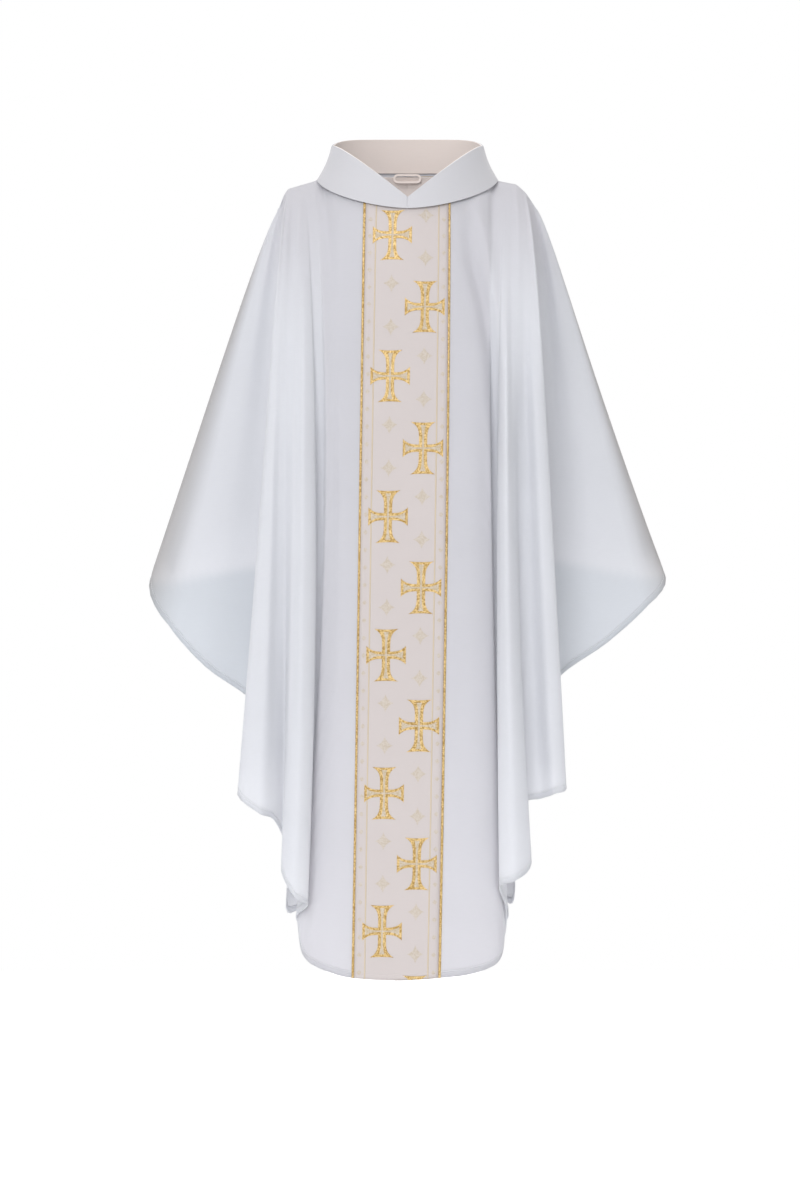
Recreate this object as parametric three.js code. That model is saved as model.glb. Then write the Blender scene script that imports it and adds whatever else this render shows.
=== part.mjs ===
// Chasuble: a sleeveless church vestment, hanging as it does on a body with its arms down.
// Millimetres, +Z up, the front faces -Y and the wearer's left is +X. The origin is the middle of the
// neck opening at shoulder height. "Right" and "left" are the wearer's.
//
// The body cloth is one thin layer. It is described by fold lines: each starts on the neckline or the
// shoulder, and falls to the hem. A pipe is a fold standing out, a valley is a fold going in.
// Each wing, the cloth outside the outer valley, swings up about its shoulder tip with the arm.

import * as THREE from 'three';

// ---- Cloth and trims: thicknesses ----
const CLOTH = 1.6;
const BAND = 1.0;
const BRAID = 1.4;
const LABEL = 0.6;
const CLEARANCE = 0.35;

// ---- Orphrey: the woven band down the middle of the front and the back ----
const ORPHREY_HALF_WIDTH = 69;
const BRAID_WIDTH = 5;

// ---- Neckline, under the collar ----
const NECK_HALF_WIDTH = 133;
const NECK_FORTH = { front: 108, back: 102 };
const NECK_SIDE_DOWN = 1.5;
const NECK_MIDDLE_DOWN = { front: 52, back: -20 };
const NECK_DIP_POWER = 1.2;

// ---- Shoulder lines, from the neck to the shoulder tip: [out, down] ----
const SHOULDER = {
  right: [[133, 1.5], [150, 4], [191, 16], [198, 26], [205, 48]],
  left: [[133, 1.5], [150, 4], [175, 9], [190, 23], [209, 52]],
};
const SHOULDER_TIP_OUT = 195;
const RIDGE_FORTH = 1;
const WING_EDGE_FORTH = 5;

// ---- How the cloth falls ----
const WAIST = 0.45;        // share of a fold line's length at which its waist point lies
const FALL = 1.25;         // above 1, the cloth leaves the shoulder level before it drops
const BODY_PLANE = 140;    // how far forth the body pushes the cloth
const FOLD_GROWTH = 1.2;   // folds are shallow on the chest and deepen to the waist
const ROUNDNESS = 0.8;     // 1 is a full spline across the folds, 0 is straight walls

// ---- Collar ----
const COLLAR = {
  cloth: 1.2,
  rim: { halfWidth: 145, forth: 118, back: 112, sideZ: -1.5, frontZ: -64, backZ: 12, power: 1.7 },
  top: { halfWidth: 122, forth: 115, back: 95, sideZ: 51, frontZ: -46, backZ: 79, power: 8 },
  lap: 0.2,                // share of the height by which the outer collar laps over the neck seam
};

const CENTRE = 18;         // fold lines on each side of the middle one
const OUTER_VALLEY = 14;   // the fold line where a wing starts
const WING_EDGE = 18;

// Each fold line: [topOut, [waistOut, waistForth], [hemOut, hemForth, hemDown], [backHemOut, backHemDown]]
const FOLDS = {
  right: [
    [69, [75, 150], [87, 146, 1257], [69, 1276]],        // 1 orphrey edge
    [113, [101, 150], [122, 146, 1248], [120, 1266]],    // 2 panel middle
    [138, [113, 145], [148, 141, 1236], [146, 1250]],    // 3 panel side
    [150, [127, 132], [166, 122, 1206], [164, 1226]],    // 4 panel edge
    [160, [135, 88], [173, 76, 1180], [172, 1206]],      // 5 inner valley
    [164, [143, 118], [172, 136, 1162], [172, 1194]],    // 6 inner pipe root
    [168, [143, 150], [154, 162, 1143], [158, 1190]],    // 7 inner pipe, inner edge
    [172, [158, 168], [174, 182, 1128], [178, 1188]],    // 8 inner pipe crest
    [176, [177, 152], [197, 158, 1090], [202, 1184]],    // 9 inner pipe, outer edge
    [180, [176, 118], [187, 108, 1050], [187, 1060]],    // 10 middle valley
    [184, [188, 138], [204, 136, 1012], [204, 985]],     // 11 outer pipe, inner edge
    [188, [200, 151], [231, 160, 1000], [226, 965]],     // 12 outer pipe crest
    [192, [216, 132], [263, 134, 964], [250, 930]],      // 13 outer pipe, outer edge
    [196, [180, 70], [182, 68, 895], [182, 790]],        // 14 outer valley
    [199, [222, 34], [250, 44, 828], [250, 622]],        // 15 wing root
    [201.5, [252, 34], [320, 36, 779], [320, 634]],      // 16 wing middle
    [203.5, [276, 22], [381, 20, 712], [381, 646]],      // 17 wing side
    [205, [289, 5], [413.5, 5, 642], [413.5, 642]],      // 18 wing edge
  ],
  left: [
    [67, [63, 150], [51, 146, 1257], [69, 1276]],
    [92, [97, 149], [98, 146, 1251], [118, 1266]],
    [112, [119, 142], [128, 141, 1240], [144, 1250]],
    [126, [129, 128], [149, 124, 1213], [160, 1224]],
    [139, [135, 88], [154, 78, 1180], [166, 1200]],
    [149, [141, 118], [153, 134, 1150], [164, 1186]],
    [155, [140, 148], [141, 160, 1114], [148, 1176]],
    [161, [151, 166], [165, 180, 1103], [160, 1172]],
    [167, [162, 150], [191, 156, 1077], [178, 1168]],
    [173, [172, 112], [180, 112, 993], [180, 1040]],
    [179, [184, 120], [207, 122, 981], [204, 980]],
    [184, [198, 146], [226, 150, 972], [220, 962]],
    [188, [213, 130], [244, 132, 958], [238, 926]],
    [193, [180, 70], [176, 68, 880], [178, 780]],
    [198, [226, 36], [238, 46, 796], [238, 612]],
    [202, [256, 34], [317, 38, 740], [317, 626]],
    [206, [279, 22], [385, 20, 679], [385, 638]],
    [209, [284, 5], [412.5, 5, 633], [412.5, 633]],
  ],
};
const CENTRE_FOLD = { waist: [7, 150], hem: [18, 146, 1261], backHem: [0, 1280] };

// Lattice lines that every sewn layer shares, so that stacked layers keep their clearance.
const BRAID_LINE = 1 - BRAID_WIDTH / ORPHREY_HALF_WIDTH;
const LABEL_LINE = 0.32;
const TORSO_LINES = [
  0, LABEL_LINE, 0.62, BRAID_LINE, 1, 2, 3, 3.5, 4, 4.5, 5, 6, 6.5, 7, 7.5, 8, 8.5, 9, 9.5, 10, 11, 12,
  12.5, 13, 13.5, OUTER_VALLEY,
];
const WING_LINES = [OUTER_VALLEY, 14.5, 15, 15.5, 16, 17, WING_EDGE];
const LABEL_ROWS = [0.012, 0.03];
const FACING_ROWS = [0, ...LABEL_ROWS, 0.05];
const TORSO_HEM_ROWS = [0.988, 1];
const WING_HEM_ROWS = [0.976, 1];
const TORSO_ROWS = [...FACING_ROWS, 0.11, 0.2, 0.32, 0.46, 0.64, 0.82, ...TORSO_HEM_ROWS];
const WING_ROWS = [...TORSO_ROWS.filter((v) => v >= 0.03 && v < TORSO_HEM_ROWS[0]), ...WING_HEM_ROWS];

// ---- Materials ----
function fabric(color, roughness = 0.85, metalness = 0) {
  return new THREE.MeshStandardMaterial({ color, roughness, metalness });
}

const WHITE = 0xe4e7ef;
const COLLAR_WHITE = 0xe6e8ee;
const LINING = 0xd8d2cf;
const IVORY = 0xdcd3d1;
const GOLD = 0xd6a94a;
const TAPE = 0xf0f0f0;

// ---- Fold lines ----

function betweenPoints(points, position) {
  let index = 1;
  while (index < points.length - 1 && position > points[index][0]) index += 1;
  const [startOut, startDown] = points[index - 1];
  const [endOut, endDown] = points[index];
  return startDown + ((endDown - startDown) * (position - startOut)) / (endOut - startOut);
}

function foldTop(out, side, face) {
  if (out < NECK_HALF_WIDTH) {
    const cosine = Math.sqrt(1 - (out / NECK_HALF_WIDTH) ** 2);
    const dip = face === 'front' ? cosine ** NECK_DIP_POWER : cosine;
    const down = NECK_SIDE_DOWN + (NECK_MIDDLE_DOWN[face] - NECK_SIDE_DOWN) * dip;
    return { out, forth: RIDGE_FORTH + (NECK_FORTH[face] - RIDGE_FORTH) * cosine, down };
  }
  const pastTip = Math.max(out - SHOULDER_TIP_OUT, 0) / (SHOULDER[side].at(-1)[0] - SHOULDER_TIP_OUT);
  const forth = RIDGE_FORTH + (WING_EDGE_FORTH - RIDGE_FORTH) * pastTip;
  return { out, forth, down: betweenPoints(SHOULDER[side], out) };
}

function makeFold([topOut, waist, hem, backHem], side, face, number) {
  const back = face === 'back';
  return {
    sideSign: side === 'right' ? -1 : 1,
    faceSign: back ? 1 : -1,
    top: foldTop(topOut, side, face),
    waist: { out: waist[0], forth: waist[1] },
    hem: { out: back ? backHem[0] : hem[0], forth: hem[1], down: back ? backHem[1] : hem[2] },
    plane: number < OUTER_VALLEY ? BODY_PLANE : waist[1],
  };
}

function makeFace(face) {
  const side = (name) => FOLDS[name].map((numbers, index) => makeFold(numbers, name, face, index + 1));
  const backWaist = [0, CENTRE_FOLD.waist[1]];
  const waist = face === 'front' ? CENTRE_FOLD.waist : backWaist;
  const centre = makeFold([0, waist, CENTRE_FOLD.hem, CENTRE_FOLD.backHem], 'right', face, 0);
  return { faceSign: centre.faceSign, folds: [...side('right').reverse(), centre, ...side('left')] };
}

// A parabola through a at the top, b at the waist and c at the hem.
function throughThree(a, b, c, v) {
  const atTop = ((v - WAIST) * (v - 1)) / WAIST;
  const atWaist = (v * (v - 1)) / (WAIST * (WAIST - 1));
  const atHem = (v * (v - WAIST)) / (1 - WAIST);
  return a * atTop + b * atWaist + c * atHem;
}

function pointOnFold({ sideSign, faceSign, top, waist, hem, plane }, v) {
  const upper = Math.min(v / WAIST, 1);
  const lower = Math.max((v - WAIST) / (1 - WAIST), 0);
  const overTheBody = 1 - (1 - upper) ** 3;
  const out = throughThree(top.out, waist.out, hem.out, v);
  const forth = top.forth + (plane - top.forth) * overTheBody
    + (waist.forth - plane) * upper ** FOLD_GROWTH + (hem.forth - waist.forth) * lower;
  const down = top.down + (hem.down - top.down) * v ** FALL;
  return new THREE.Vector3(sideSign * out, faceSign * forth, -down);
}

// ---- The cloth surface: u counts fold lines from the right wing edge, v runs from 0 at the top to 1 ----

function surfacePoint({ folds }, u, v) {
  const index = Math.min(Math.max(Math.floor(u), 0), folds.length - 2);
  const t = u - index;
  const at = (i) => pointOnFold(folds[Math.min(Math.max(i, 0), folds.length - 1)], v);
  const [before, start, end, after] = [at(index - 1), at(index), at(index + 1), at(index + 2)];
  const leaving = end.clone().sub(before).multiplyScalar(ROUNDNESS / 2);
  const arriving = after.clone().sub(start).multiplyScalar(ROUNDNESS / 2);
  const t2 = t * t;
  const t3 = t2 * t;
  return new THREE.Vector3()
    .addScaledVector(start, 2 * t3 - 3 * t2 + 1)
    .addScaledVector(leaving, t3 - 2 * t2 + t)
    .addScaledVector(end, 3 * t2 - 2 * t3)
    .addScaledVector(arriving, t3 - t2);
}

// Keeps a point of the front or the back on its own side of the shoulder ridge.
function clearOfRidge(point, faceSign) {
  return point.setY(faceSign * Math.max(faceSign * point.y, RIDGE_FORTH / 2));
}

function surfaceNormal(face, u, v) {
  const stepU = 0.03;
  const stepV = 0.004;
  const last = face.folds.length - 1;
  const across = surfacePoint(face, Math.min(u + stepU, last), v);
  across.sub(surfacePoint(face, Math.max(u - stepU, 0), v));
  const down = surfacePoint(face, u, Math.min(v + stepV, 1));
  down.sub(surfacePoint(face, u, Math.max(v - stepV, 0)));
  return across.cross(down).multiplyScalar(face.faceSign).normalize();
}

// Moves a lattice line sideways by a distance in millimetres.
function shiftedLine(face, u, v, distance) {
  if (distance === 0) return u;
  const step = 0.02;
  const toward = Math.sign(distance) * step;
  const length = surfacePoint(face, u, v).distanceTo(surfacePoint(face, u + toward, v));
  return u + (distance * step) / length;
}

// ---- Closed solids ----

// Joins two grids of points, one for each skin, into one closed body. wrap closes a ring.
function closedBody(outer, inner, wrap = false) {
  const rows = outer.length;
  const columns = outer[0].length;
  const points = [...outer.flat(), ...inner.flat()];
  const at = (skin, row, column) => skin * rows * columns + row * columns + (column % columns);
  const triangles = [];
  const quad = (a, b, c, d) => triangles.push(a, b, c, a, c, d);
  const lastColumn = wrap ? columns : columns - 1;
  for (let row = 0; row < rows - 1; row += 1) {
    for (let column = 0; column < lastColumn; column += 1) {
      quad(at(0, row, column), at(0, row, column + 1), at(0, row + 1, column + 1), at(0, row + 1, column));
      quad(at(1, row, column), at(1, row + 1, column), at(1, row + 1, column + 1), at(1, row, column + 1));
    }
    if (!wrap) {
      quad(at(0, row, 0), at(0, row + 1, 0), at(1, row + 1, 0), at(1, row, 0));
      const end = columns - 1;
      quad(at(0, row, end), at(1, row, end), at(1, row + 1, end), at(0, row + 1, end));
    }
  }
  for (let column = 0; column < lastColumn; column += 1) {
    const bottom = rows - 1;
    quad(at(0, 0, column), at(1, 0, column), at(1, 0, column + 1), at(0, 0, column + 1));
    quad(at(0, bottom, column), at(0, bottom, column + 1), at(1, bottom, column + 1), at(1, bottom, column));
  }
  const volume = signedVolume(points, triangles);
  const geometry = new THREE.BufferGeometry();
  geometry.setAttribute('position', new THREE.Float32BufferAttribute(points.flatMap((p) => p.toArray()), 3));
  geometry.setIndex(volume > 0 ? triangles : triangles.reverse());
  geometry.computeVertexNormals();
  return geometry;
}

function signedVolume(points, triangles) {
  let volume = 0;
  for (let i = 0; i < triangles.length; i += 3) {
    const [a, b, c] = [points[triangles[i]], points[triangles[i + 1]], points[triangles[i + 2]]];
    volume += a.dot(b.clone().cross(c)) / 6;
  }
  return volume;
}

// A layer of cloth on one face: its outer skin is lift above the cloth surface.
// ends holds how far the first and last columns are drawn in.
function layer(face, lines, rows, lift, thickness, ends = [0, 0]) {
  const grid = (offset) => rows.map((v) => lines.map((line, index) => {
    const inset = (index === 0 ? ends[0] : 0) - (index === lines.length - 1 ? ends[1] : 0);
    const u = shiftedLine(face, line, v, inset);
    const point = surfacePoint(face, u, v).addScaledVector(surfaceNormal(face, u, v), offset);
    return clearOfRidge(point, face.faceSign);
  }));
  return closedBody(grid(lift), grid(lift - thickness));
}

const toLines = (side, numbers) => (side === 'right'
  ? numbers.map((n) => CENTRE - n).reverse()
  : numbers.map((n) => CENTRE + n));
const upTo = (numbers, limit) => numbers.filter((n) => n <= limit);
const bothSides = (numbers) => [...toLines('right', numbers), ...toLines('left', numbers).slice(1)];

// ---- Collar: three cone-like shells that stand in a ring, theta 0 at the front ----

function collarCurve(curve, theta) {
  const across = Math.sin(theta);
  const along = Math.cos(theta);
  const share = Math.abs(across);
  const front = along > 0;
  const forth = front ? curve.forth : curve.back;
  return { x: curve.halfWidth * across, y: -forth * along, share, front };
}

function collarRim(theta) {
  const { rim } = COLLAR;
  const { x, y, share, front } = collarCurve(rim, theta);
  const arch = (1 - share ** rim.power) ** (1 / rim.power);
  const rise = front ? (rim.frontZ - rim.sideZ) * arch : (rim.backZ - rim.sideZ) * Math.abs(Math.cos(theta));
  const z = rim.sideZ + rise;
  return new THREE.Vector3(x, y, z);
}

function collarTop(theta) {
  const { top } = COLLAR;
  const { x, y, share, front } = collarCurve(top, theta);
  const z = front
    ? top.frontZ + (top.sideZ - top.frontZ) * share
    : top.sideZ + (top.backZ - top.sideZ) * Math.sqrt(Math.max(1 - share ** top.power, 0));
  return new THREE.Vector3(x, y, z);
}

function collarShell(inset, thickness, fromShare) {
  const steps = 40;
  const shares = [fromShare, (fromShare + 1) / 2, 1];
  const grid = (depth) => shares.map((share) => Array.from({ length: steps }, (_, index) => {
    const theta = (index / steps) * 2 * Math.PI;
    const point = collarRim(theta).lerp(collarTop(theta), share);
    const inward = new THREE.Vector3(-Math.sin(theta), Math.cos(theta), 0);
    return point.addScaledVector(inward, depth);
  }));
  return closedBody(grid(inset), grid(inset + thickness), true);
}

// ---- Small pieces ----

function shoulderStay(side) {
  const [length, width, depthBelowRidge] = [30, 12, 7.5];
  const [, start, end] = SHOULDER[side];
  const slope = Math.atan2(end[1] - start[1], end[0] - start[0]);
  const sign = side === 'right' ? -1 : 1;
  const middle = start[0] - 4 + length / 2;
  const geometry = new THREE.BoxGeometry(length, width, BRAID);
  geometry.translate(0, 0, -depthBelowRidge - BRAID / 2);
  geometry.rotateY(sign * slope);
  geometry.translate(sign * middle, 0, -betweenPoints(SHOULDER[side], middle));
  return geometry;
}

function wingSeamTape(face, side) {
  const width = 10;
  const half = 2.1;
  const sign = side === 'right' ? -1 : 1;
  const edge = side === 'right' ? 0 : face.folds.length - 1;
  const skin = (y) => WING_ROWS.slice(0, -2).map((v) => {
    const outer = surfacePoint(face, edge, v).setY(y);
    return [outer, outer.clone().add(new THREE.Vector3(-sign * width, 0, -width / 3))];
  });
  return closedBody(skin(-half), skin(half));
}

function hangingLoop() {
  const [length, height, bar] = [46, 15, 3.5];
  const outline = (halfLength, radius) => {
    const path = new THREE.Path();
    path.absarc(halfLength - radius, 0, radius, -Math.PI / 2, Math.PI / 2);
    path.absarc(-(halfLength - radius), 0, radius, Math.PI / 2, 1.5 * Math.PI);
    return path.getPoints(5);
  };
  const shape = new THREE.Shape(outline(length / 2, height / 2));
  shape.holes.push(new THREE.Path(outline(length / 2 - bar, height / 2 - bar)));
  const geometry = new THREE.ExtrudeGeometry(shape, { depth: BAND, bevelEnabled: false });
  geometry.rotateX(Math.PI / 2);
  geometry.translate(0, NECK_FORTH.back - 5, -NECK_MIDDLE_DOWN.back - 4);
  return geometry;
}

// ---- Assembly ----

const chasuble = new THREE.Group();
chasuble.name = 'chasuble';

function add(name, geometry, material) {
  const mesh = new THREE.Mesh(geometry, material);
  mesh.name = name;
  chasuble.add(mesh);
}

const hemLift = -CLOTH - CLEARANCE;
const seamGap = CLEARANCE / 2;
const outerValleyGap = 0.4;

for (const faceName of ['front', 'back']) {
  const face = makeFace(faceName);
  for (const side of ['right', 'left']) {
    const torso = toLines(side, TORSO_LINES);
    const wing = toLines(side, WING_LINES);
    const torsoEnds = side === 'right' ? [outerValleyGap, seamGap] : [seamGap, outerValleyGap];
    const wingEnds = side === 'right' ? [0, outerValleyGap] : [outerValleyGap, 0];
    add(`${faceName}_panel_${side}`, layer(face, torso, TORSO_ROWS, 0, CLOTH, torsoEnds), fabric(WHITE));
    add(`${faceName}_wing_${side}`, layer(face, wing, WING_ROWS, 0, CLOTH, wingEnds), fabric(WHITE));
    const torsoHem = layer(face, torso, TORSO_HEM_ROWS, hemLift, BAND, torsoEnds);
    const wingHem = layer(face, wing, WING_HEM_ROWS, hemLift, BAND, wingEnds);
    add(`${faceName}_hem_${side}`, torsoHem, fabric(WHITE));
    add(`${faceName}_wing_hem_${side}`, wingHem, fabric(WHITE));

    const braid = toLines(side, [BRAID_LINE, 1]);
    const braidEnds = side === 'right' ? [0, seamGap] : [seamGap, 0];
    add(`${faceName}_braid_${side}`, layer(face, braid, TORSO_ROWS, CLEARANCE + BRAID, BRAID, braidEnds),
      fabric(GOLD, 0.4, 0.8));
  }
  const bandLines = bothSides(upTo(TORSO_LINES, BRAID_LINE));
  const band = layer(face, bandLines, TORSO_ROWS, CLEARANCE + BAND, BAND, [seamGap, seamGap]);
  add(`${faceName}_orphrey`, band, fabric(IVORY, 0.7));
  const facing = layer(face, bothSides(upTo(TORSO_LINES, 2)), FACING_ROWS, hemLift, BAND);
  add(`${faceName}_neck_facing`, facing, fabric(WHITE));
}

const back = makeFace('back');
const labelLift = hemLift - BAND - CLEARANCE;
add('blank_label', layer(back, bothSides([0, LABEL_LINE]), LABEL_ROWS, labelLift, LABEL), fabric(TAPE));
add('hanging_loop', hangingLoop(), fabric(TAPE));

for (const side of ['right', 'left']) {
  add(`shoulder_stay_${side}`, shoulderStay(side), fabric(TAPE));
  add(`wing_seam_tape_${side}`, wingSeamTape(makeFace('front'), side), fabric(WHITE));
}

const { cloth: collarCloth, lap } = COLLAR;
add('collar_outer', collarShell(0, collarCloth, 0), fabric(COLLAR_WHITE));
add('collar_interfacing', collarShell(collarCloth + CLEARANCE, BAND, lap), fabric(TAPE));
add('collar_lining', collarShell(collarCloth + BAND + 2 * CLEARANCE, collarCloth, lap), fabric(LINING));

export default chasuble;
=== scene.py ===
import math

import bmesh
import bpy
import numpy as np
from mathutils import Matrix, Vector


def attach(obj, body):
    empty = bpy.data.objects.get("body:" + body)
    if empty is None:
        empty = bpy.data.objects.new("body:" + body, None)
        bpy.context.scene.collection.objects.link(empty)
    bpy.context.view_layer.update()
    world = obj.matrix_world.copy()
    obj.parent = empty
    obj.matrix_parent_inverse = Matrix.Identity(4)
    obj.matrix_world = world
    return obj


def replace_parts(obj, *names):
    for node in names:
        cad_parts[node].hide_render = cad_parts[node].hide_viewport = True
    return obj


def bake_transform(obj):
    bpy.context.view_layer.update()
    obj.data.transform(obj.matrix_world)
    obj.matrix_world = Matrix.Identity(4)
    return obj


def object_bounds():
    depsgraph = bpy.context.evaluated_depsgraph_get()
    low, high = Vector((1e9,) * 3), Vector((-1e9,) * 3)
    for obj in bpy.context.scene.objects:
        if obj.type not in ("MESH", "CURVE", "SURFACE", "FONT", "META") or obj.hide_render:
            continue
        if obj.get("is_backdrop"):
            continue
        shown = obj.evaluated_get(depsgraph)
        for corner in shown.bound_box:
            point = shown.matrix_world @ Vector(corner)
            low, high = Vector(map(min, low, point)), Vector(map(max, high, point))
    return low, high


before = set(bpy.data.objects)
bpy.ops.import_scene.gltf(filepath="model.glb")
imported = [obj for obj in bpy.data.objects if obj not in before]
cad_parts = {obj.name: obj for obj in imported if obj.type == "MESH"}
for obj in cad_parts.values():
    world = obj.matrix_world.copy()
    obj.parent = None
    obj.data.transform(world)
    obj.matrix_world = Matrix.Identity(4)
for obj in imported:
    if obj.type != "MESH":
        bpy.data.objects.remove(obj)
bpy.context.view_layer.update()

# Looks for a white chasuble that hangs on the shoulders with its arms down.
# Metres, +Z up, the front faces -Y, the wearer's left is +X, the origin is in the neck opening.
# "Right" and "left" are the wearer's. Each half of the cloth is one sheet, front and back, that
# folds over the shoulder and along the edge of the wing. It is shaped by fold lines that fall from
# the neckline or the shoulder to the hem, then settled by a short cloth simulation.

# ---- Sizes ----
CLOTH = 0.0009        # the thickness of the body cloth
NECK_HALF_WIDTH = 0.133
NECK_FORTH = {"front": 0.108, "back": 0.102}
NECK_SIDE_DOWN = 0.0015
NECK_MIDDLE_DOWN = {"front": 0.052, "back": -0.020}
NECK_DIP_POWER = 1.2
SHOULDER = {
    "right": ((0.133, 0.0015), (0.150, 0.004), (0.191, 0.016), (0.198, 0.026), (0.205, 0.048)),
    "left": ((0.133, 0.0015), (0.150, 0.004), (0.175, 0.009), (0.190, 0.023), (0.209, 0.052)),
}
WAIST = 0.45          # share of a fold line's length at its waist point
FALL = 1.25           # above 1, the cloth leaves the shoulder level before it drops
BODY_PLANE = 0.140    # how far forth the body pushes the cloth
FOLD_GROWTH = {"right": 2.0, "left": 3.4}   # folds are shallow on the chest and deepen to the waist
ROUNDNESS = 0.95      # 1 is a full spline across the folds
TIP_BULGE = 0.006     # how far the hem swells beside the wing tip
TIP_FROM = 0.6        # the wing tip is rounded over the last part of the outer space between fold lines
TIP_IN = 0.02         # by being drawn in this far
TIP_UP = 0.04         # and up this far

CENTRE = 18           # fold lines on each side of the middle one
OUTER_VALLEY = 14
LINES_PER_FOLD = 5    # lattice lines between two fold lines
ROWS = 170
ROW_CROWDING = 1.08   # above 1, the rows are closer together at the top

SETTLE_FRAMES = 16
SLACK = 0.0008        # how much longer the cloth is than its smooth shape, which makes soft creases
HOLD = 0.32           # how strongly the cloth keeps the hang of its fold lines

HEM_WIDTH = 0.011
TURN_UP = 0.0006      # the thickness of the hem's turn-up and of the seam tape
STITCH_LINE = 0.0095  # how far the stitches run above the hem
STITCH = 0.0026
STITCH_PITCH = 0.0036
THREAD = 0.0004
TAPE_LINES = (17.1, 17.7)     # the fold lines between which the wing's seam tape lies
TAPE_SHARES = (0.30, 0.93)    # and the shares of their length where it starts and ends

ORPHREY_HALF = 0.069
BRAID_WIDTH = 0.0037
LIFT = 0.0002         # how far the woven band lies off the cloth
BAND = 0.0007         # its thickness
CROSS_OUT = 0.0262
PATTERN_SHIFT = 0.003       # the woven pattern sits a little to the left of the band's middle
FIRST_CROSS_UP = 0.0759     # the lowest whole cross's centre, above the hem
CROSS_PITCH = 0.1066
CHEST_STRETCH = 0.00056     # added to the pitch over the chest
LEFT_CROSS_DROP = 0.0025    # the crosses of the left column sit slightly low between the others
STAR_SHARES = (0.345, 0.652)    # how far up the two stars stand between two crosses of a column
STAR_MARGIN = 0.014         # the stars keep this far from the band's ends
DOT_OUT = 0.058
DOT_PITCH = 0.0272
LINE_OUT = 0.0495
LINE_WIDTH = 0.0022

COLLAR_RIM = {"half": 0.145, "forth": 0.118, "back": 0.112,
              "side_z": -0.0015, "front_z": -0.064, "back_z": 0.012}
COLLAR_TOP = {"half": 0.122, "forth": 0.115, "back": 0.095,
              "side_z": 0.051, "front_z": -0.046, "back_z": 0.079}
COLLAR_LAYER = 0.0012
STIFFENER = 0.0010
FACING_DEPTH = 0.0031       # how far the facing lies inside the collar's outer face
STIFFENER_DEPTH = 0.00155
FACING_FROM = 0.2           # the facing starts above the neck seam
COLLAR_ARCH = 1.7
COLLAR_BACK_POWER = 8
COLLAR_WAIST = 0.003
COLLAR_BACK_STEP = 0.0114   # how far the back rim stands above the side corners beside them
SEAM_DEPTH = 0.0011         # the seam at the middle of the front is a fine groove
SEAM_SPREAD = 0.008
NECK_SEAM_SHARE = 0.05      # the neck seam's height on the collar, as a share of its own

CAMERA_PLACE = (-0.012, -4.2, -0.6736)
LENS = 78.75
AMBIENT = 0.93        # the white room's light; the room itself looks fully white
BEHIND_GAIN = 0.30    # the room is brighter behind the garment than in front of it
SIDE_LOSS = 0.30      # and darker at its sides

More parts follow.
